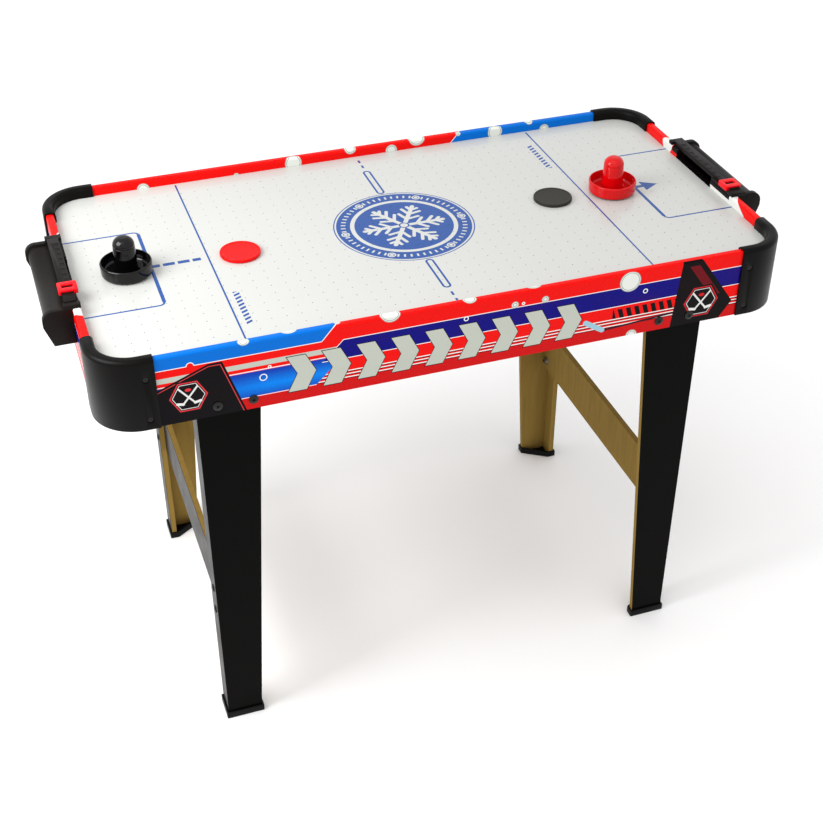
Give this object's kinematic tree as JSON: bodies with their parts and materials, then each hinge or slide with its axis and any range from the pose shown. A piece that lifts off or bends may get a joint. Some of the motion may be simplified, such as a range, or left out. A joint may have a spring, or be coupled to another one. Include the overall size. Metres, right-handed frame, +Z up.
{
  "type": "air hockey table",
  "caption": "Air hockey table: boxed rink with end goals and score sliders on bolted board legs, with air blower, pushers and pucks.",
  "frame": {"origin": "middle of the table on the floor", "axes": "+X along the rink towards the red pusher's goal, +Y across the rink away from the printed long side, +Z up"},
  "size_m": [1.1, 0.526, 0.7437],
  "materials": {
    "field_board": "white gloss laminate",
    "panel_board": "raw hardboard",
    "long_apron_print": "gloss printed film over fibreboard",
    "end_apron_print": "gloss printed film over fibreboard",
    "raw_wood": "raw softwood",
    "cap_plastic": "fine moulded texture",
    "goal_plastic": "fine moulded texture",
    "slider_plastic": "gloss",
    "black_steel": "black oxide",
    "zinc_steel": "zinc plated",
    "leg_board": "black laminate outside, raw fibreboard inside",
    "foot_plastic": "moulded",
    "blower_plastic": "moulded",
    "motor_steel": "rolled can",
    "impeller_plastic": "moulded",
    "switch_plastic": "gloss",
    "rocker_plastic": "gloss",
    "lead_sheath": "satin",
    "pusher_black_plastic": "polished",
    "pusher_red_plastic": "polished",
    "felt": "felt",
    "puck_red_plastic": "satin face",
    "puck_black_plastic": "satin face"
  },
  "bodies": {
    "table": {"playfield": "field_board", "bottom_panel": "panel_board", "front_apron": "long_apron_print", "back_apron": "long_apron_print", "left_apron": "end_apron_print", "right_apron": "end_apron_print", "front_field_batten": "raw_wood", "back_field_batten": "raw_wood", "left_field_batten": "raw_wood", "right_field_batten": "raw_wood", "front_panel_batten": "raw_wood", "back_panel_batten": "raw_wood", "corner_blocks": "raw_wood", "corner_cap_front_left": "cap_plastic", "corner_cap_front_right": "cap_plastic", "corner_cap_back_left": "cap_plastic", "corner_cap_back_right": "cap_plastic", "cap_screws": "black_steel", "goal_box_left": "goal_plastic", "goal_box_right": "goal_plastic", "score_rail_left": "goal_plastic", "score_rail_right": "goal_plastic", "goal_screws": "zinc_steel", "leg_front_left_side": "leg_board", "leg_front_left_end": "leg_board", "leg_front_right_side": "leg_board", "leg_front_right_end": "leg_board", "leg_back_left_side": "leg_board", "leg_back_left_end": "leg_board", "leg_back_right_side": "leg_board", "leg_back_right_end": "leg_board", "foot_cap_front_left": "foot_plastic", "foot_cap_front_right": "foot_plastic", "foot_cap_back_left": "foot_plastic", "foot_cap_back_right": "foot_plastic", "leg_bolts": "black_steel", "leg_nuts": "zinc_steel", "stretcher_left": "leg_board", "stretcher_right": "leg_board", "stretcher_bolts": "black_steel", "stretcher_nuts": "zinc_steel", "blower_housing": "blower_plastic", "blower_grille": "blower_plastic", "blower_motor": "motor_steel", "blower_screws": "zinc_steel", "switch_body": "switch_plastic", "power_socket": "switch_plastic", "socket_lead": "lead_sheath", "motor_lead": "lead_sheath"},
    "slider_left": {"score_slider_left": "slider_plastic"},
    "slider_right": {"score_slider_right": "slider_plastic"},
    "rotor": {"impeller": "impeller_plastic", "motor_shaft": "motor_steel"},
    "rocker": {"switch_rocker": "rocker_plastic"},
    "pusher_black": {"pusher_black": "pusher_black_plastic", "felt_pad_black": "felt"},
    "pusher_red": {"pusher_red": "pusher_red_plastic", "felt_pad_red": "felt"},
    "puck_red": {"puck_red": "puck_red_plastic"},
    "puck_black": {"puck_black": "puck_black_plastic"}
  },
  "joints": [
    {"name": "score_left_slide", "type": "slide", "parent": "table", "child": "slider_left", "axis": [0, 1, 0], "range_m": [-0.023, 0.134]},
    {"name": "score_right_slide", "type": "slide", "parent": "table", "child": "slider_right", "axis": [0, 1, 0], "range_m": [-0.003, 0.154]},
    {"name": "impeller_spin", "type": "hinge", "parent": "table", "child": "rotor", "pos_m": [0, 0, 0.625], "axis": [0, 0, 1], "continuous": true},
    {"name": "rocker_tilt", "type": "hinge", "parent": "table", "child": "rocker", "pos_m": [0.18, 0.2566, 0.656], "axis": [1, 0, 0], "range_deg": [-16, 0]},
    {"name": "pusher_black_slide", "type": "slide", "parent": "table", "child": "pusher_black", "axis": [0, 1, 0], "range_m": [-0.201, 0.215]},
    {"name": "pusher_red_slide", "type": "slide", "parent": "table", "child": "pusher_red", "axis": [0, 1, 0], "range_m": [-0.21, 0.21]},
    {"name": "puck_red_slide", "type": "slide", "parent": "table", "child": "puck_red", "axis": [0, 1, 0], "range_m": [-0.213, 0.221]},
    {"name": "puck_black_slide", "type": "slide", "parent": "table", "child": "puck_black", "axis": [0, 1, 0], "range_m": [-0.222, 0.212]}
  ]
}
